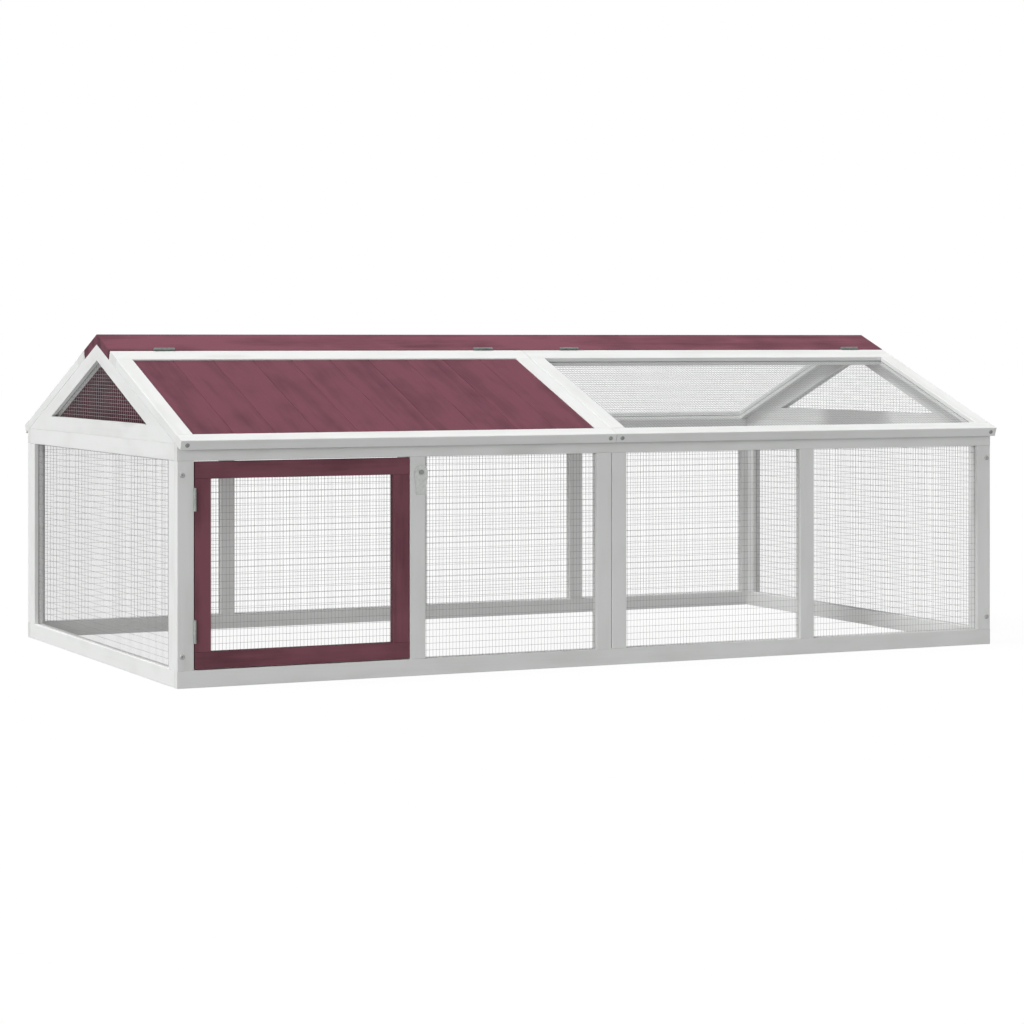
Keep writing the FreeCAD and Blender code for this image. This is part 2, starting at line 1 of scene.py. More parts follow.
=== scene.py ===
# %% [markdown]
# # An outdoor run for small animals, dressed in Blender
#
# The object is a long timber run with welded mesh in its walls, a gable roof of four lids hinged at
# the ridge, and a mesh door. Its timbers, planks, hinges and turn button come as exact solids from
# the construction model, so they are kept as they are and get their stain and their metal here. The
# mesh comes as plain sheets with a few openings, so its real wires are made here, and so are the
# small screws. Everything is in metres: X runs along the ridge, Y towards the rear, Z up.

# %% Load the construction model
import math
import random

import bmesh
import bpy
import numpy as np
from mathutils import Matrix, Vector


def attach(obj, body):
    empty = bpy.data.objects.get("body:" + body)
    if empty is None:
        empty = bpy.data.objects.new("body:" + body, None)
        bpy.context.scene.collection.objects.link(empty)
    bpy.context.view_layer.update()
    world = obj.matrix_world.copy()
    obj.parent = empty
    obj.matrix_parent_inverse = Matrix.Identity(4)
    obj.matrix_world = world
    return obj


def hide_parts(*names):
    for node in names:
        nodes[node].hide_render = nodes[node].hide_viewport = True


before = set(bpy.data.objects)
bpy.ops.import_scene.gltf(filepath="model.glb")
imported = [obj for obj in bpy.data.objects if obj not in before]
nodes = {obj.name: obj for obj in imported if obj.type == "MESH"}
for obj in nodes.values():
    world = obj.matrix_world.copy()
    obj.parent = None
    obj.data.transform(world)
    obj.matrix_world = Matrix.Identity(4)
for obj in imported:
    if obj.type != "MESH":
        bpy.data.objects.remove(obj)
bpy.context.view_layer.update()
scene = bpy.context.scene

# %% [markdown]
# ## The camera
#
# The photograph was taken with a long lens from the left of the front, a little above the walls.
# All the uprights are parallel in it, which tells that the camera looked level and that the picture
# was cropped lower down. A level camera with a vertical shift gives the same picture, while a
# camera that is tilted down would make the uprights lean.

# %% Set up the camera
FOCAL_LENGTH, SENSOR_WIDTH = 98.88, 36.0  # millimetres, as on a real camera
SHIFT_DOWN = 0.16822  # share of the picture's width
CAMERA_PLACE = (-2.84262, -6.05128, 0.71445)
LEVEL, TO_THE_RIGHT = math.radians(90), math.radians(25.3368)

lens_data = bpy.data.cameras.new("photo_camera")
lens_data.lens = FOCAL_LENGTH
lens_data.sensor_width = SENSOR_WIDTH
lens_data.shift_y = -SHIFT_DOWN
camera = bpy.data.objects.new("photo_camera", lens_data)
camera.location = CAMERA_PLACE
camera.rotation_euler = (LEVEL, 0, -TO_THE_RIGHT)
scene.collection.objects.link(camera)
scene.camera = camera
print("camera", round(camera.location.length, 2), "m from the middle of the run")

# %% [markdown]
# ## Writing a material as sums
#
# A material in Blender is a net of nodes, which is slow to read and to write when each node is made
# by hand. One small class stands for a socket. Sums written with it add the Math or Vector Math
# nodes, so that a pattern reads like its formula. Any other node comes from its one method `node`,
# which takes the type, then the settings, then what goes into the sockets. The few nodes that come
# back again and again, such as a noise or a ramp, have short methods of their own that call it.

# %% A socket that can be reckoned with


class Signal:
    """One output of a node. Sums with it add nodes to its tree."""

    def __init__(self, tree, socket=None):
        self.tree = tree
        self.socket = socket

    def node(self, kind, settings=(), sockets=(), output=0):
        """Adds a node: its type, its settings, and values or links for its sockets."""
        made = self.tree.nodes.new(kind)
        for name, value in dict(settings).items():
            if name == "stops":
                while len(made.color_ramp.elements) < len(value):
                    made.color_ramp.elements.new(1.0)
                for element, (place, colour) in zip(made.color_ramp.elements, value):
                    element.position = place
                    element.color = colour
            else:
                setattr(made, name, value)
        for name, value in dict(sockets).items():
            if isinstance(value, Signal):
                self.tree.links.new(value.socket, made.inputs[name])
            else:
                made.inputs[name].default_value = value
        return Signal(self.tree, made.outputs[output])

    def is_value(self):
        return self.socket.type == "VALUE"

    def maths(self, operation, first, second=0.0):
        """A Math node on values, a Vector Math node on vectors."""
        if all(item.is_value() for item in (first, second) if isinstance(item, Signal)):
            return self.node("ShaderNodeMath", {"operation": operation}, {0: first, 1: second})
        pair = [self.as_vector(item) for item in (first, second)]
        return self.node("ShaderNodeVectorMath", {"operation": operation}, {0: pair[0], 1: pair[1]})

    @staticmethod
    def as_vector(item):
        return (item, item, item) if isinstance(item, (int, float)) else item

    def __add__(self, other):
        return self.maths("ADD", self, other)

    def __radd__(self, other):
        return self.maths("ADD", other, self)

    def __sub__(self, other):
        return self.maths("SUBTRACT", self, other)

    def __rsub__(self, other):
        return self.maths("SUBTRACT", other, self)

    def __mul__(self, other):
        return self.maths("MULTIPLY", self, other)

    def __rmul__(self, other):
        return self.maths("MULTIPLY", other, self)

    def __truediv__(self, other):
        return self.maths("DIVIDE", self, other)

    def __rtruediv__(self, other):
        return self.maths("DIVIDE", other, self)

    def __abs__(self):
        return self.maths("ABSOLUTE", self)

    def between(self, low, high):
        """0 below low, 1 above high, and a smooth rise from one to the other."""
        return self.node("ShaderNodeMapRange", {"interpolation_type": "SMOOTHSTEP"},
                         {0: self, 1: low, 2: high})

    def ramp(self, *stops):
        """A colour ramp, given by places from 0 to 1 and the colours there."""
        return self.node("ShaderNodeValToRGB", {"stops": stops}, {0: self})

    def relief(self, strength, distance):
        """This as a bump on the surface, where 1 stands `distance` metres above 0."""
        return self.node("ShaderNodeBump", (),
                         {"Strength": strength, "Distance": distance, "Height": self})

    def parts(self):
        """The three numbers of a vector."""
        split = self.node("ShaderNodeSeparateXYZ", (), {0: self}).socket.node
        return [Signal(self.tree, out) for out in split.outputs]

    def vector(self, x, y, z):
        return self.node("ShaderNodeCombineXYZ", (), {0: x, 1: y, 2: z})

    def noise(self, place, detail=2.0, roughness=0.5):
        """Cloudy noise about 0.5, one feature to a metre, so that `place` sets its size."""
        return self.node("ShaderNodeTexNoise", {"noise_dimensions": "3D"},
                         {"Vector": place, "Scale": 1.0, "Detail": detail, "Roughness": roughness})

    def feed(self, target, name):
        """Links this into a socket of a node that is there already."""
        self.tree.links.new(self.socket, target.inputs[name])


def new_material(name):
    """A material with its shader, and a Signal to begin its sums with."""
    material = bpy.data.materials.new(name)
    material.use_nodes = True
    tree = material.node_tree
    shader = tree.nodes["Principled BSDF"]
    return material, shader, Signal(tree)


print("sums on sockets are ready")

# %% [markdown]
# ## Where the grain runs
#
# Wood is never even: its grain runs along each timber, in streaks that are long one way and narrow
# the other. The same board pattern serves every timber if the place on the timber is first turned
# so that its first number runs along the grain. Rails run along X, the rails of the end walls along
# Y, stiles along Z. Rafters, planks and the side members of the lids climb the slope of the roof.
# The roof is the same on both sides, so the front slope and the rear slope share one sum, with |y|.

# %% Turn places so that the grain comes first
ROOF_PITCH = math.radians(20.4)


def grain_place(start, direction, coordinate):
    """The object's own place, or its normal, as along the grain, across it, and across it again."""
    x, y, z = start.node("ShaderNodeTexCoord", output=coordinate).parts()
    if direction == "X":
        return x, y, z
    if direction == "Y":
        return y, x, z
    if direction == "Z":
        return z, x, y
    climb = z * math.sin(ROOF_PITCH) - abs(y) * math.cos(ROOF_PITCH)
    out = z * math.cos(ROOF_PITCH) + abs(y) * math.sin(ROOF_PITCH)
    return climb, x, out


print("slope", round(math.degrees(ROOF_PITCH), 1), "degrees")

# %% [markdown]
# ## Stained softwood
#
# Spruce takes a thin stain unevenly. Four things show through it: broad streaks of early and late
# wood, fine pores drawn out along the grain, cloudy patches that drank more of the stain, and now
# and then a knot. A picture of a board could be laid on the timbers, but it would stretch and
# repeat. Here each of the four is a pattern of noise, given by how many of its features go to a
# metre along the grain and across it. A slow drift bends the streaks, because a saw cut is never
# quite along the tree.

# %% Streaks, pores, patches and knots
DRIFT, BROAD, FINE = (1.1, 7.0), (1.6, 24.0), (13.0, 520.0)
PATCHES, KNOTS = (8.0, 15.0), (2.1, 8.5)
BEND = 0.035  # metres that the drift moves the streaks
KNOT_EDGE = (0.03, 0.17)  # where a knot begins to fade and where it ends, as distances in cells


def figure(start, along, across, depth):
    """The figure of the wood: broad streaks, fine pores, cloudy patches and knots."""

    def drawn_out(features, sideways):
        return start.vector(along * features[0], sideways * features[1], depth * features[1])

    drift = start.noise(drawn_out(DRIFT, across)) - 0.5
    bent = across + drift * BEND
    broad = start.noise(drawn_out(BROAD, bent), detail=3.0, roughness=0.6)
    fine = start.noise(drawn_out(FINE, bent), roughness=0.7)
    patches = start.noise(drawn_out(PATCHES, across), detail=3.0) - 0.5
    to_knot = start.node("ShaderNodeTexVoronoi", {"feature": "F1"},
                         {"Vector": drawn_out(KNOTS, across), "Scale": 1.0}, output="Distance")
    return broad, fine, patches, 1.0 - to_knot.between(*KNOT_EDGE)


print("streaks every", round(1000 / BROAD[1]), "mm, pores every", round(1000 / FINE[1], 1), "mm")

# %% [markdown]
# No two boards come from the same place in a tree. So each object gets a random number, which
# shifts its figure along the grain and changes its tone a little. The ten planks of a lid are one
# object in Blender, so there the number comes from the plank that a point lies on. A thin dark line
# lies where two planks meet, because their edges are bevelled and the stain gathers in the bevels.

# %% No board like the next
PLANKS_FROM, PLANK_PITCH = -0.964, 0.09275  # metres: edge of the first plank, and on to the next
BOARD_SHIFT = 9.0  # metres along the grain, at most
PLANK_TONES, TIMBER_TONES = 0.34, 0.12
SEAM = (0.478, 0.5)  # in plank widths from a plank's middle: the line begins, and is darkest


def board(start, along, across, planks):
    """The shifted place along the grain, the board's own tone, and the seam at its edges."""
    if not planks:
        chance = start.node("ShaderNodeObjectInfo", output="Random")
        return along + chance * BOARD_SHIFT, (chance - 0.5) * TIMBER_TONES, 0.0
    place = (across - PLANKS_FROM) / PLANK_PITCH
    number = start.node("ShaderNodeMath", {"operation": "FLOOR"}, {0: place})
    chance = start.node("ShaderNodeTexWhiteNoise", {"noise_dimensions": "1D"}, {"W": number},
                        output="Value")
    seam = abs(place - number - 0.5).between(*SEAM)
    return along + chance * BOARD_SHIFT, (chance - 0.5) * PLANK_TONES, seam


print("planks", round(PLANK_PITCH * 1000, 2), "mm wide")

# %% [markdown]
# The figure says how much of the stain the wood has taken up. All of it is added to one darkness,
# and a ramp turns that into a colour between the stain and its darkest streaks. On the ends of the
# timbers the pores stand upright, so the stain goes in deeper there. The same sum makes both
# stains, only stronger in the thin wine-red one than in the white one. The pores and streaks also
# make the surface a little uneven, so they feed the gloss and a very low relief.

# %% A stained wood
STREAK_BAND = (0.38, 0.72)  # the part of the broad noise that shows as streaks
STREAK_WEIGHT, PATCH_WEIGHT = 0.7, 2.3
PORE_LEVEL = 0.45  # where the noise of the pores is lower than this, they make the wood paler
END_GRAIN = (0.85, 0.97)  # how squarely a face looks along the grain
END_DARKNESS, SEAM_DARKNESS = 0.30, 0.12
WOOD_ROUGHNESS, PORE_ROUGHNESS = 0.60, 0.16
PORE_HEIGHT, STREAK_HEIGHT = 0.8, 0.5
WOOD_BUMP, WOOD_BUMP_HEIGHT = 0.25, 0.0004
WOOD_SHEEN = 0.15  # a matt stain mirrors far less than a varnish


def stained_wood(name, direction, stain, streaks, pores, knots, planks=False):
    """Wood with the grain in one direction, between a stain and its darker streaks."""
    material, shader, start = new_material(name)
    along, across, depth = grain_place(start, direction, "Object")
    along, board_tone, seam = board(start, along, across, planks)
    broad, fine, patches, knot = figure(start, along, across, depth)
    end_grain = abs(grain_place(start, direction, "Normal")[0]).between(*END_GRAIN)
    darkness = (broad.between(*STREAK_BAND) * streaks * STREAK_WEIGHT + (fine - PORE_LEVEL) * pores
                + patches * streaks * PATCH_WEIGHT + knot * knots + end_grain * END_DARKNESS
                + board_tone * streaks + seam * SEAM_DARKNESS)
    darkness.ramp((0.0, stain[0]), (1.0, stain[1])).feed(shader, "Base Color")
    (WOOD_ROUGHNESS + fine * PORE_ROUGHNESS).feed(shader, "Roughness")
    height = fine * PORE_HEIGHT + broad * STREAK_HEIGHT
    height.relief(WOOD_BUMP, WOOD_BUMP_HEIGHT).feed(shader, "Normal")
    shader.inputs["Specular IOR Level"].default_value = WOOD_SHEEN
    return material


print("stained wood is ready")

# %% [markdown]
# The white stain hides most of the wood: the run is off-white with faint streaks. The wine-red
# stain is thinner and shows dark streaks and soft knots. The planks of the lids are the darkest,
# the ridge boards a little lighter and the door the lightest, so each has its own pair of tones.

# %% The two stains, one material for each direction of the grain
WHITE = ((0.80, 0.81, 0.80, 1), (0.60, 0.605, 0.585, 1))  # the stain, and its darkest streaks
DOOR_WINE = ((0.222, 0.082, 0.108, 1), (0.098, 0.032, 0.046, 1))
RIDGE_WINE = ((0.192, 0.061, 0.087, 1), (0.085, 0.023, 0.037, 1))
PLANK_WINE = ((0.163, 0.050, 0.073, 1), (0.062, 0.017, 0.028, 1))

white_wood, wine_wood = {}, {}
for way in ("X", "Y", "Z", "slope"):
    white_wood[way] = stained_wood("white_stain_" + way.lower(), way, WHITE, streaks=0.32,
                                   pores=0.18, knots=0.40)
for way in ("X", "Z"):
    wine_wood[way] = stained_wood("wine_stain_" + way.lower(), way, DOOR_WINE, streaks=0.70,
                                  pores=0.25, knots=0.60)
wine_wood["ridge"] = stained_wood("wine_stain_ridge", "X", RIDGE_WINE, streaks=0.85, pores=0.28,
                                  knots=0.60)
wine_wood["planks"] = stained_wood("wine_stain_planks", "slope", PLANK_WINE, streaks=0.57,
                                   pores=0.22, knots=0.60, planks=True)
print(len(white_wood), "white woods and", len(wine_wood), "wine-red ones")

# %% [markdown]
# Each timber gets the wood whose grain runs its way. The names of the solids tell which way that
# is: rails run along the wall they belong to, stiles stand up, and the side members of a lid, the
# rafters and the planks climb the slope.

# %% Give the timbers their wood
TIMBER_ENDINGS = ("rails", "stiles", "sides", "rafters", "base", "planks", "board")


def wood_for(name):
    if name.endswith("planks"):
        return wine_wood["planks"]
    if "ridge_board" in name:
        return wine_wood["ridge"]
    if name == "door_rails":
        return wine_wood["X"]
    if name == "door_stiles":
        return wine_wood["Z"]
    if name.endswith("_stiles"):
        return white_wood["Z"]
    if name.endswith(("_sides", "_rafters")):
        return white_wood["slope"]
    if name.startswith(("left_", "right_")):
        return white_wood["Y"]
    return white_wood["X"]


def finish_node(name, material):
    """Puts one material on a solid of the construction model, and leaves its mesh alone."""
    for slot in nodes[name].material_slots:
        slot.link = "OBJECT"
        slot.material = material


timbers = [name for name in nodes if name.endswith(TIMBER_ENDINGS)]
for name in timbers:
    finish_node(name, wood_for(name))
print(len(timbers), "timber solids stained")

# %% [markdown]
# ## Zinc on the hinges, the turn button and the screws
#
# The fittings are pressed from sheet steel and zinc plated. Fresh plating is neither a mirror nor
# grey paint: it is a dull metal with fine rolling marks and faint cloudy patches where the bath ran
# off. A partly metallic shader with a rather high, uneven roughness gives that, with a very small
# bump.

# %% Zinc plate
ZINC_PATCHES = 160.0  # features to a metre
ROLLING_MARKS = (300.0, 2600.0, 900.0)  # features to a metre along X, Y and Z
PATCH_EDGE = (0.35, 0.7)
PATCH_SHARE, MARK_SHARE = 0.8, 0.2
ZINC_ROUGHNESS, PATCH_ROUGHNESS = 0.42, 0.22
ZINC_BUMP, ZINC_BUMP_HEIGHT = 0.2, 0.0001
ZINC_METAL = 0.35


def zinc_plate(name, pale, dull):
    """Dull plated steel with cloudy patches and fine rolling marks."""
    material, shader, start = new_material(name)
    place = start.node("ShaderNodeTexCoord", output="Object")
    patches = start.noise(place * ZINC_PATCHES, detail=4.0, roughness=0.6)
    drawn_out = [part * scale for part, scale in zip(place.parts(), ROLLING_MARKS)]
    marks = start.noise(start.vector(*drawn_out), detail=1.0)
    share = patches.between(*PATCH_EDGE) * PATCH_SHARE + marks * MARK_SHARE
    share.ramp((0.0, pale), (1.0, dull)).feed(shader, "Base Color")
    (ZINC_ROUGHNESS + patches * PATCH_ROUGHNESS).feed(shader, "Roughness")
    (marks + patches).relief(ZINC_BUMP, ZINC_BUMP_HEIGHT).feed(shader, "Normal")
    shader.inputs["Metallic"].default_value = ZINC_METAL
    return material


print("zinc is ready")

# %% [markdown]
# Plating comes out of every bath a little different. The turn button is the palest piece, and the
# hinges of the door are duller. Those in the dark seam under the ridge boards get the dullest zinc,
# as painted shade for that seam.
# The same holds for the screws: those in the corners of the walls are paler than those of the lids.

# %% Plate the fittings
ZINC_TONES = {"hinge_zinc": ((0.42, 0.44, 0.42, 1), (0.30, 0.32, 0.31, 1)),
              "button_zinc": ((0.66, 0.68, 0.66, 1), (0.52, 0.54, 0.52, 1)),
              # the hinges under the ridge boards: a darker zinc, as painted shade for the seam they sit
              # in
              "ridge_zinc_painted_shade": ((0.25, 0.27, 0.255, 1), (0.15, 0.165, 0.155, 1)),
              "screw_zinc": ((0.34, 0.35, 0.34, 1), (0.24, 0.25, 0.24, 1)),
              "corner_screw_zinc": ((0.50, 0.51, 0.50, 1), (0.38, 0.39, 0.38, 1))}

plated = {name: zinc_plate(name, pale, dull) for name, (pale, dull) in ZINC_TONES.items()}
hinges = [name for name in nodes if "hinge" in name]
for name in hinges:
    finish_node(name, plated["ridge_zinc_painted_shade"] if "_lid_" in name else plated["hinge_zinc"])
finish_node("turn_button", plated["button_zinc"])
finish_node("turn_button_screw", plated["screw_zinc"])
print(len(hinges), "sets of hinge leaves, the turn button and its screw plated")

# %% [markdown]
# ## Welded wire mesh
#
# The mesh is straight galvanised wire 0.6 mm thick: wires that run up every 7.8 mm, welded to wires
# that run across every 14.2 mm behind them. It could be drawn as a see-through pattern on a sheet,
# but then it would have no thickness and would vanish edge on. So each wire is a real six-sided
# tube, laid in the plane of its pane and let into the saw groove of the timber. Every few
# centimetres it leaves its line by about a tenth of a millimetre, as drawn wire does. The numbers
# that decide this come from a seeded list, so that each run gives the same mesh.

# %% Wires as tubes
WIRE_RADIUS = 0.00031
WIRE_SIDES = 6
STATION = 0.055  # metres between the points of a wire
WANDER_IN_PANE, WANDER_OUT = 0.00010, 0.00006
chances = np.random.default_rng(20)


def wire_points(first, last, side_a, side_b):
    """Points along a nearly straight wire."""
    count = max(2, int(math.ceil(np.linalg.norm(last - first) / STATION)) + 1)
    share = np.linspace(0.0, 1.0, count)[:, None]
    points = first + (last - first) * share
    points += side_a * chances.normal(0, WANDER_IN_PANE, (count, 1))
    points += side_b * chances.normal(0, WANDER_OUT, (count, 1))
    return points


def tube(points, side_a, side_b, offset):
    """The rings of one wire and its faces, numbered from offset."""
    turns = np.arange(WIRE_SIDES) / WIRE_SIDES * math.tau
    ring = side_a * np.cos(turns)[:, None] * WIRE_RADIUS + side_b * np.sin(turns)[:, None] * WIRE_RADIUS
    corners = (points[:, None, :] + ring[None, :, :]).reshape(-1, 3)
    faces = []
    for station in range(len(points) - 1):
        low = offset + station * WIRE_SIDES
        for side in range(WIRE_SIDES):
            after = (side + 1) % WIRE_SIDES
            faces.append((low + side, low + after, low + WIRE_SIDES + after, low + WIRE_SIDES + side))
    last = offset + (len(points) - 1) * WIRE_SIDES
    faces.append(tuple(offset + side for side in reversed(range(WIRE_SIDES))))
    faces.append(tuple(last + side for side in range(WIRE_SIDES)))
    return corners, faces


print("wire", WIRE_RADIUS * 2000, "mm thick")

# %% [markdown]
# A pane is given by its plane and its corners in that plane. Its corners are pushed out by the
# let-in first, so that every wire ends inside the timber. Each wire is then cut where it leaves the
# pane, which is how the same lines serve the rectangles of the walls and the triangles of the
# gables.

# %% Where a wire enters and leaves a pane
LET_IN = 0.0068


def grown(corners, by):
    """Pushes the sides of a pane out, so that its wires end in the groove."""
    count = len(corners)
    lines = []
    for index in range(count):
        a, b = np.array(corners[index]), np.array(corners[(index + 1) % count])
        along = (b - a) / np.linalg.norm(b - a)
        outward = np.array((along[1], -along[0]))
        lines.append((a + outward * by, along))
    moved = []
    for index in range(count):
        (p, d), (q, e) = lines[index - 1], lines[index]
        t = np.cross(q - p, e) / np.cross(d, e)
        moved.append(p + d * t)
    return moved


def crossing(corners, axis, value):
    """Where the line axis = value crosses the pane: the lowest and highest other number."""
    hits = []
    for a, b in zip(corners, corners[1:] + corners[:1]):
        if (a[axis] - value) * (b[axis] - value) <= 0 and a[axis] != b[axis]:
            share = (value - a[axis]) / (b[axis] - a[axis])
            hits.append(a[1 - axis] + (b[1 - axis] - a[1 - axis]) * share)
    return (min(hits), max(hits)) if len(hits) > 1 else None


print("wires are let in", LET_IN * 1000, "mm")

# %% [markdown]
# The two sets of wires lie one behind the other and just sink into each other where they are
# welded. What is left over when the pane is divided by the pitch is shared out to both sides, so
# that a pane looks the same at its left and at its right. In the gables the mesh is turned a
# quarter, as the photograph shows it, with its close wires lying across.

# %% The wires of a pane
CLOSE_PITCH, WIDE_PITCH = 0.0078, 0.0142
WELDED = 0.9  # share of the radius that each set stands off the middle of the mesh
SHORTEST_WIRE = 0.02


def pane_wires(plane, corners):
    """Both sets of wires of a pane, as (points, side, side)."""
    origin, right, up, out = plane
    rim = grown(corners, LET_IN)
    runs = []
    close_axis = 1 if len(corners) == 3 else 0
    for axis, pitch, level in ((close_axis, CLOSE_PITCH, WELDED), (1 - close_axis, WIDE_PITCH, -WELDED)):
        values = [corner[axis] for corner in rim]
        count = int((max(values) - min(values)) / pitch)
        spare = (max(values) - min(values) - (count - 1) * pitch) / 2
        for index in range(count):
            value = min(values) + spare + index * pitch
            ends = crossing(rim, axis, value)
            if ends is None or ends[1] - ends[0] < SHORTEST_WIRE:
                continue
            places = [(value, end) if axis == 0 else (end, value) for end in ends]
            first, last = (origin + right * u + up * v + out * WIRE_RADIUS * level for u, v in places)
            side = right if axis == 0 else up
            runs.append((wire_points(first, last, side, out), side, out))
    return runs


print("wires every", CLOSE_PITCH * 1000, "and every", WIDE_PITCH * 1000, "mm")

# %% [markdown]
# Galvanised wire is a pale, slightly blotchy grey. The zinc has crystals of a few millimetres, so a
# soft noise of that size varies both the colour and the gloss. The wires of the lids get a paler copy
# of it, as painted light for the lamp and the sky that fall on the lids from above.

# %% Galvanised wire
CRYSTALS = 240.0  # features to a metre
NOISE_LOW, NOISE_HIGH = 0.3, 0.7  # nearly all of a noise lies between these
WIRE_ROUGHNESS, CRYSTAL_ROUGHNESS = 0.38, 0.25
WIRE_METAL = 0.3
WALL_GREYS = ((0.39, 0.39, 0.39, 1), (0.30, 0.30, 0.30, 1))
# the paler greys of the lid wires are painted light from above
LID_GREYS_PAINTED_LIGHT = ((0.55, 0.56, 0.56, 1), (0.45, 0.46, 0.46, 1))


def galvanised_wire(name, greys):
    """Zinc on drawn wire, blotchy between a pale and a dull grey."""
    material, shader, start = new_material(name)
    place = start.node("ShaderNodeTexCoord", output="Object")
    crystals = start.noise(place * CRYSTALS, detail=3.0)
    crystals.ramp((NOISE_LOW, greys[0]), (NOISE_HIGH, greys[1])).feed(shader, "Base Color")
    (WIRE_ROUGHNESS + crystals * CRYSTAL_ROUGHNESS).feed(shader, "Roughness")
    shader.inputs["Metallic"].default_value = WIRE_METAL
    return material


wall_wire = galvanised_wire("galvanised_wire", WALL_GREYS)
# the lids' wires: the paler copy, painted light
lid_wire_painted_light = galvanised_wire("galvanised_lid_wire_painted_light", LID_GREYS_PAINTED_LIGHT)
print("materials", wall_wire.name, "and", lid_wire_painted_light.name)

# %% [markdown]
# The mesh lies in the middle of the timber's thickness, in the walls as in the lids. A plane is
# kept as a point and three directions: to the right and up along the pane, as seen from outside,
# and out of it.

# %% The planes that the mesh lies in
HALF_LENGTH, HALF_DEPTH, WALL_HEIGHT = 1.0, 0.56, 0.502
TIMBER_THICK, TIMBER_WIDE = 0.021, 0.036
RIDGE_HEIGHT = 0.703949  # where the tops of the front and the rear rafters would meet
MESH_RISE = 0.0109  # from the top of the rafters to the middle of a lid
mesh_x, mesh_y = HALF_LENGTH - TIMBER_THICK / 2, HALF_DEPTH - TIMBER_THICK / 2
FRONT, RIGHT, REAR, LEFT = range(4)


def wall_plane(wall):
    """Plane of a wall's mesh."""
    outwards = [np.array(v, float) for v in ((0, -1, 0), (1, 0, 0), (0, 1, 0), (-1, 0, 0))]
    out, right = outwards[wall], outwards[(wall + 1) % 4]
    return out * (mesh_y if wall in (FRONT, REAR) else mesh_x), right, np.array((0.0, 0.0, 1.0)), out


def lid_plane(sign):
    """Plane of a lid's mesh, on the front slope (-1) or the rear slope (1)."""
    right = np.array((-sign, 0.0, 0.0))
    up = np.array((0.0, -sign * math.cos(ROOF_PITCH), math.sin(ROOF_PITCH)))
    out = np.array((0.0, sign * math.sin(ROOF_PITCH), math.cos(ROOF_PITCH)))
    return np.array((0.0, 0.0, RIDGE_HEIGHT)) + out * MESH_RISE, right, up, out


print("mesh", round(mesh_y, 4), "m before and behind the middle,", round(mesh_x, 4), "m beside it")

# %% [markdown]
# The panes are the openings of the frames, measured along the wall from its middle and up from the
# ground, or down the slope from the ridge. Front and rear wall are the same frame, turned round, so
# their bays are the same seen from outside. The door takes the first bay of the front.

# %% The openings of the frames
MIDDLE_SEAM, LID_SEAM = 0.0016, 0.001  # between the two halves of a wall, and between two lids
DOOR_OPENING, DOOR_GAP, DOOR_TIMBER = 0.482, 0.002, 0.035
LID_PANE_LOW, LID_PANE_HIGH = -0.583, -0.150
GABLE_FOOT, GABLE_TOP, GABLE_HALF = 0.535, 0.66874, 0.3598

by_corner = HALF_LENGTH - TIMBER_WIDE
by_middle = MIDDLE_SEAM / 2 + TIMBER_WIDE
by_end_corner = HALF_DEPTH - TIMBER_THICK - TIMBER_WIDE
left_stile = (-by_corner + DOOR_OPENING, -by_corner + DOOR_OPENING + TIMBER_WIDE)
right_stile = ((HALF_LENGTH - TIMBER_WIDE) / 2, (HALF_LENGTH + TIMBER_WIDE) / 2)


def rectangle(low, high, bottom=TIMBER_WIDE, top=WALL_HEIGHT - TIMBER_WIDE):
    return [(low, bottom), (high, bottom), (high, top), (low, top)]


bays = [rectangle(-by_corner, left_stile[0]), rectangle(left_stile[1], -by_middle),
        rectangle(by_middle, right_stile[0]), rectangle(right_stile[1], by_corner)]
door_edge = DOOR_GAP + DOOR_TIMBER
door_pane = rectangle(-by_corner + door_edge, left_stile[0] - door_edge, TIMBER_WIDE + door_edge,
                      WALL_HEIGHT - TIMBER_WIDE - door_edge)
end_pane = rectangle(-by_end_corner, by_end_corner)
gable_pane = [(-GABLE_HALF, GABLE_FOOT), (GABLE_HALF, GABLE_FOOT), (0.0, GABLE_TOP)]
by_lid_seam = LID_SEAM / 2 + TIMBER_WIDE
front_lid_pane = rectangle(by_lid_seam, by_corner, LID_PANE_LOW, LID_PANE_HIGH)
rear_lid_pane = rectangle(-by_corner, -by_lid_seam, LID_PANE_LOW, LID_PANE_HIGH)
print("bays", [round((bay[1][0] - bay[0][0]) * 1000, 1) for bay in bays], "mm wide")

# %% [markdown]
# All the wires of a wall, of the door or of a lid are one object, because they are one sheet on the
# real run. The sheet of the door or of a lid rides on that door or lid, so it swings with it.

# %% Weave all the sheets
SHEETS = {
    "front_mesh": ("frame", wall_plane(FRONT), bays[1:]),
    "door_mesh": ("door", wall_plane(FRONT), [door_pane]),
    "rear_mesh": ("frame", wall_plane(REAR), bays),
    "left_mesh": ("frame", wall_plane(LEFT), [end_pane]),
    "right_mesh": ("frame", wall_plane(RIGHT), [end_pane]),
    "left_gable_mesh": ("frame", wall_plane(LEFT), [gable_pane]),
    "right_gable_mesh": ("frame", wall_plane(RIGHT), [gable_pane]),
    "front_right_lid_mesh": ("front_right_lid", lid_plane(-1), [front_lid_pane]),
    "rear_right_lid_mesh": ("rear_right_lid", lid_plane(1), [rear_lid_pane]),
}


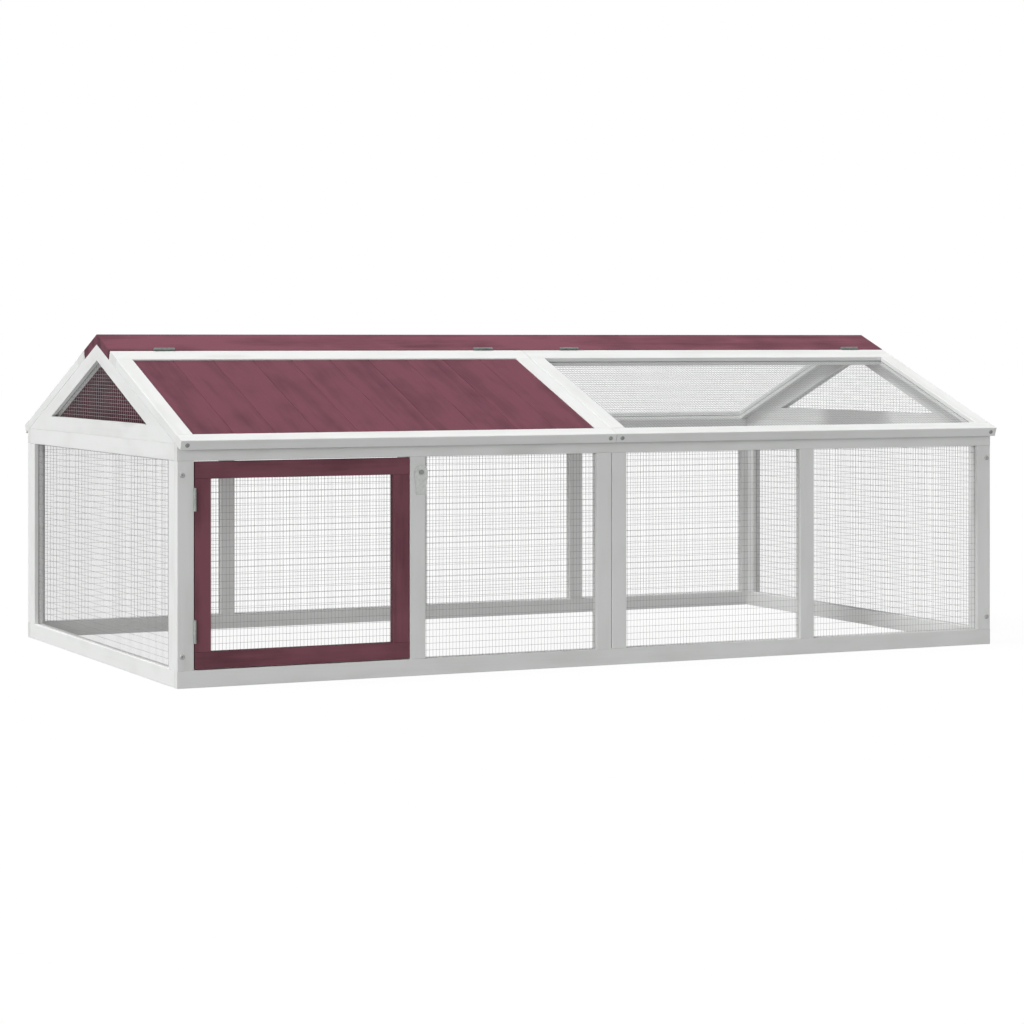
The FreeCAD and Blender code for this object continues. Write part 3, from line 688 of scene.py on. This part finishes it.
def woven(name, plane, panes):
    """One object with all the wires of a wall, the door or a lid."""
    corners, faces, count = [], [], 0
    for pane in panes:
        for points, side_a, side_b in pane_wires(plane, pane):
            placed, quads = tube(points, side_a, side_b, count)
            corners.append(placed)
            faces.extend(quads)
            count += len(placed)
    mesh = bpy.data.meshes.new(name)
    mesh.from_pydata(np.concatenate(corners).tolist(), [], faces)
    mesh.materials.append(lid_wire_painted_light if "_lid_" in name else wall_wire)
    mesh.polygons.foreach_set("use_smooth", [len(face) == 4 for face in faces])
    mesh.update()
    piece = bpy.data.objects.new(name, mesh)
    scene.collection.objects.link(piece)
    return piece


for node_name, (body, plane, panes) in SHEETS.items():
    wires = woven(node_name.replace("_mesh", "_wires"), plane, panes)
    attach(wires, body)
    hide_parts(node_name)
    print(wires.name, len(wires.data.polygons), "faces")

# %% [markdown]
# ## Screws
#
# Two screws go through each corner stile into the end wall, and one through each end of a lid's
# lower rail into its side member. Only the domed heads show. A head is half of a lens, turned from
# a curve, and its cross recess is pressed in: the points of the dome that lie in the cross are
# moved down. A plain dome would read as a rivet.

# %% A domed screw head with a cross recess
HEAD_RINGS, HEAD_SIDES = 9, 40
FULLNESS = 0.85  # under 1 the dome is flatter on top and steeper at the edge
EDGE_SHARE = 0.18  # share of the height that stands straight up at the edge
ARM_WIDTH, ARM_LENGTH, RECESS = 0.13, 0.58, 0.75  # shares of the radius, and of the height


def screw_head(name, radius, height):
    """A domed head about Z, its flat underside at 0."""
    shape = bmesh.new()
    turns_round = [side / HEAD_SIDES * math.tau for side in range(HEAD_SIDES)]
    rings = []
    for ring in range(HEAD_RINGS + 1):
        angle = ring / HEAD_RINGS * math.pi / 2
        across = radius * math.sin(angle) ** FULLNESS
        up = height * (EDGE_SHARE + (1 - EDGE_SHARE) * math.cos(angle))
        row = []
        for turn in turns_round if ring else turns_round[:1]:
            x, y = across * math.cos(turn), across * math.sin(turn)
            arm = min(abs(x), abs(y)) / (radius * ARM_WIDTH)
            reach = max(abs(x), abs(y)) / (radius * ARM_LENGTH)
            depth = height * RECESS * max(0.0, 1 - arm ** 4) * max(0.0, 1 - reach ** 3)
            row.append(shape.verts.new((x, y, up - depth)))
        rings.append(row)
    rings.append([shape.verts.new((radius * math.cos(turn), radius * math.sin(turn), 0))
                  for turn in turns_round])
    for inner, outer in zip(rings, rings[1:]):
        for side in range(HEAD_SIDES):
            after = (side + 1) % HEAD_SIDES
            if len(inner) == 1:
                shape.faces.new((inner[0], outer[side], outer[after]))
            else:
                shape.faces.new((inner[side], outer[side], outer[after], inner[after]))
    shape.faces.new(tuple(reversed(rings[-1])))
    bmesh.ops.recalc_face_normals(shape, faces=shape.faces)
    mesh = bpy.data.meshes.new(name)
    shape.to_mesh(mesh)
    shape.free()
    mesh.polygons.foreach_set("use_smooth", [len(face.vertices) < HEAD_SIDES for face in mesh.polygons])
    return mesh


corner_head = screw_head("corner_screw_head", radius=0.0056, height=0.0032)
lid_head = screw_head("lid_screw_head", radius=0.0048, height=0.0020)
print("heads with", len(corner_head.vertices), "points")

# %% [markdown]
# A screw is never driven to the same turn as its neighbour, so each cross gets its own turn from a
# seeded list. Screws of the walls ride on the frame, those of a lid on that lid. The heads are
# copied into one mesh for each place, already turned, so that nothing is left to turn afterwards.

# %% How screws are driven
turns = random.Random(7)


def drive(name, body, head, spots, facing, zinc="screw_zinc"):
    """Copies of a head at some spots of a face: Z of each head points the way the face does."""
    tilt = Vector(facing).to_track_quat("Z", "Y").to_matrix().to_4x4()
    shape = bmesh.new()
    for spot in spots:
        copy = head.copy()
        turn = Matrix.Rotation(turns.uniform(0, math.tau), 4, "Z")
        copy.transform(Matrix.Translation(spot) @ tilt @ turn)
        shape.from_mesh(copy)
        bpy.data.meshes.remove(copy)
    mesh = bpy.data.meshes.new(name)
    shape.to_mesh(mesh)
    shape.free()
    mesh.materials.append(plated[zinc])
    screws = bpy.data.objects.new(name, mesh)
    scene.collection.objects.link(screws)
    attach(screws, body)
    return len(spots)


print("a set of screws is one object")

# %% [markdown]
# The screws of a corner stand on the stile's face, over the middle of the end wall's timber, which
# is the plane of its mesh. Those of a lid stand on its lower edge. A point on the roof is easiest
# to give as on the real slope: so far down from the ridge, and so far above the rafters.

# %% Screws in the corners and in the lids
SIDES = (("front", -1), ("rear", 1))
CORNER_SCREW_HEIGHTS = (0.065, 0.437)
LID_EDGE = 0.61796  # down the slope from the ridge
LID_SCREWS = {"left": (-0.986, -0.0145), "right": (0.0145, 0.986)}


def on_slope(sign, x, down, rise):
    """A point of the front (-1) or rear (1) slope, below the ridge and above the rafters."""
    cos, sin = math.cos(ROOF_PITCH), math.sin(ROOF_PITCH)
    return Vector((x, sign * (down * cos + rise * sin), RIDGE_HEIGHT - down * sin + rise * cos))


def downhill(sign):
    return on_slope(sign, 0, 1, 0) - on_slope(sign, 0, 0, 0)


driven = 0
for side, sign in SIDES:
    for end, x in (("left", -mesh_x), ("right", mesh_x)):
        spots = [Vector((x, sign * HALF_DEPTH, z)) for z in CORNER_SCREW_HEIGHTS]
        driven += drive(f"{side}_{end}_corner_screws", "frame", corner_head, spots, (0, sign, 0),
                        "corner_screw_zinc")
for side, sign in SIDES:
    for half, places in LID_SCREWS.items():
        spots = [on_slope(sign, x, LID_EDGE, MESH_RISE) for x in places]
        driven += drive(f"{side}_{half}_lid_screws", f"{side}_{half}_lid", lid_head, spots,
                        downhill(sign))
print(driven, "screws driven")

# %% [markdown]
# Each leaf of a hinge is held by three countersunk screws, which lie almost flush with it. They are
# only seen when the door or a lid is open. A hinge of the door has its leaves in the narrow gap
# beside the door, a hinge of a lid in the seam under the ridge board.

# %% Screws in the hinge leaves
leaf_head = screw_head("leaf_screw_head", radius=0.0024, height=0.00015)
ALONG_LEAF = (-0.016, 0.0, 0.016)  # metres from the middle of a leaf
DOOR_LEAVES = (("frame", -0.9632, 1), ("door", -0.9628, -1))  # body, face at x, way it looks
DOOR_LEAF_Y, DOOR_MIDDLE = -0.5515, 0.251
DOOR_HINGES = (-0.1355, 0.1355)  # metres from the middle of the door
LID_HINGES = {("front", "left"): (-0.876, -0.0995), ("front", "right"): (0.1245, 0.901),
              ("rear", "right"): (0.876, 0.0995), ("rear", "left"): (-0.1245, -0.901)}
RIDGE_LEAF, LID_LEAF = 0.0958, 0.0972  # down the slope from the ridge
LEAF_RISE = 0.0129  # above the rafters

driven = 0
for body, x, facing in DOOR_LEAVES:
    spots = [Vector((x, DOOR_LEAF_Y, DOOR_MIDDLE + hinge + step))
             for hinge in DOOR_HINGES for step in ALONG_LEAF]
    driven += drive(f"door_leaf_screws_on_{body}", body, leaf_head, spots, (facing, 0, 0))
for (side, half), places in LID_HINGES.items():
    sign = dict(SIDES)[side]
    for body, down, way in (("frame", RIDGE_LEAF, 1), (f"{side}_{half}_lid", LID_LEAF, -1)):
        spots = [on_slope(sign, x + step, down, LEAF_RISE) for x in places for step in ALONG_LEAF]
        driven += drive(f"{side}_{half}_leaf_screws_on_{body}", body, leaf_head, spots,
                        downhill(sign) * way)
print(driven, "screws in the leaves")

# %% [markdown]
# ## Floor and backdrop
#
# The run is shown on white. The floor is a wide plane of plain white that takes the shadow like any
# surface. For the camera, and for what a mirror or a glass would show, most of its colour is
# replaced by a plain white of strength 1, so it melts into the white world behind it but keeps part
# of the shadow. None of that adds light to the run.
#
# In the photograph the timbers under the planks are hardly darker than those in the open, so the
# light from below can't come off a floor that lies in the run's own shade. It is as on a light
# table, which glows evenly. So the floor is hidden from bouncing light here, and the part of the
# world that lies below the horizon lights the run in its place.

# %% White floor
EYE_RAYS = ("Is Camera Ray", "Is Glossy Ray", "Is Transmission Ray")
WHITENED = 0.96  # share of the floor's own look that the eye doesn't get
PAPER_CLOUDS, PAPER_ROUGHNESS = 3.0, 0.9
PAPER_PALE, PAPER_DULL = (0.96, 0.96, 0.96, 1), (0.93, 0.93, 0.93, 1)
PLAIN_WHITE = (1, 1, 1, 1)
REACH = 30.0  # metres from the middle of the floor to its edge


def seen_by_eye(start):
    """1 for what the camera, a mirror or a glass shows, 0 for what lights the run."""
    rays = start.node("ShaderNodeLightPath").socket.node
    camera_ray, glossy_ray, clear_ray = (Signal(start.tree, rays.outputs[name]) for name in EYE_RAYS)
    return (camera_ray + glossy_ray + clear_ray).between(0.0, 1.0)


floor_white, floor_shader, begin = new_material("floor_white")
paper = begin.noise(begin.node("ShaderNodeTexCoord", output="Object") * PAPER_CLOUDS)
paper.ramp((NOISE_LOW, PAPER_PALE), (NOISE_HIGH, PAPER_DULL)).feed(floor_shader, "Base Color")
floor_shader.inputs["Roughness"].default_value = PAPER_ROUGHNESS
floor_shader.inputs["Specular IOR Level"].default_value = 0.0
glow = begin.node("ShaderNodeEmission", (), {"Color": PLAIN_WHITE, "Strength": 1.0})
lit = Signal(begin.tree, floor_shader.outputs[0])
shown = begin.node("ShaderNodeMixShader", (), {0: seen_by_eye(begin) * WHITENED, 1: lit, 2: glow})
shown.feed(begin.tree.nodes["Material Output"], "Surface")

floor_mesh = bpy.data.meshes.new("floor")
floor_mesh.from_pydata([(-REACH, -REACH, 0), (REACH, -REACH, 0), (REACH, REACH, 0), (-REACH, REACH, 0)],
                       [], [(0, 1, 2, 3)])
floor_mesh.materials.append(floor_white)
floor = bpy.data.objects.new("floor", floor_mesh)
floor.visible_diffuse = False
scene.collection.objects.link(floor)
print("floor", 2 * REACH, "m wide")

# %% [markdown]
# ## Light
#
# In the photograph the tops are almost white, the left end is a little darker and the front is in
# even shade. So the main light stands high, a little to the left, and none of it reaches the front.
# A weaker lamp, low at the left front, lights the left end and grazes the front. Sun lamps with a
# wide disc give the same strength on all of the long run, with soft shadows. Area lamps would have
# to stand far away for that.

# %% The two lamps
LAMPS = (  # name, strength, width of its disc in degrees, direction towards it
    ("key", 2.54, 24, (-0.43, 0.015, 0.90)),
    ("fill", 0.79, 30, (-0.80, -0.58, 0.13)))

for name, power, disc, towards in LAMPS:
    lamp_data = bpy.data.lights.new(name, "SUN")
    lamp_data.energy = power
    lamp_data.angle = math.radians(disc)
    lamp = bpy.data.objects.new(name, lamp_data)
    lamp.rotation_euler = Vector(towards).to_track_quat("Z", "Y").to_euler()
    scene.collection.objects.link(lamp)
    print(name, "light", power)

# %% [markdown]
# The sky gives the rest. It is brighter near the horizon than overhead, as in a studio with large
# lit walls, because such light reaches in under the roof. Below the horizon lies the light table.
# The height of a direction, from -1 straight down to 1 straight up, tells which of them a ray
# meets. To the eye the world is plain white all round.

# %% Sky and light table
LOW_SKY, HIGH_SKY, TABLE = 1.10, 0.27, 0.38
SKY_FADES, TABLE_ENDS = (0.10, 0.45), (-0.02, 0.02)  # heights of a direction

world = bpy.data.worlds.new("white_room")
world.use_nodes = True
scene.world = world
sky = Signal(world.node_tree)
height = sky.node("ShaderNodeTexCoord", output="Generated").parts()[2]
above = LOW_SKY - height.between(*SKY_FADES) * (LOW_SKY - HIGH_SKY)
light = TABLE + height.between(*TABLE_ENDS) * (above - TABLE)
strength = light + seen_by_eye(sky) * (1.0 - light)
backdrop = world.node_tree.nodes["Background"]
backdrop.inputs["Color"].default_value = PLAIN_WHITE
strength.feed(backdrop, "Strength")
scene.view_settings.view_transform = "Standard"
print("sky", LOW_SKY, "low,", HIGH_SKY, "high and", TABLE, "from below for light, 1 for the eye")
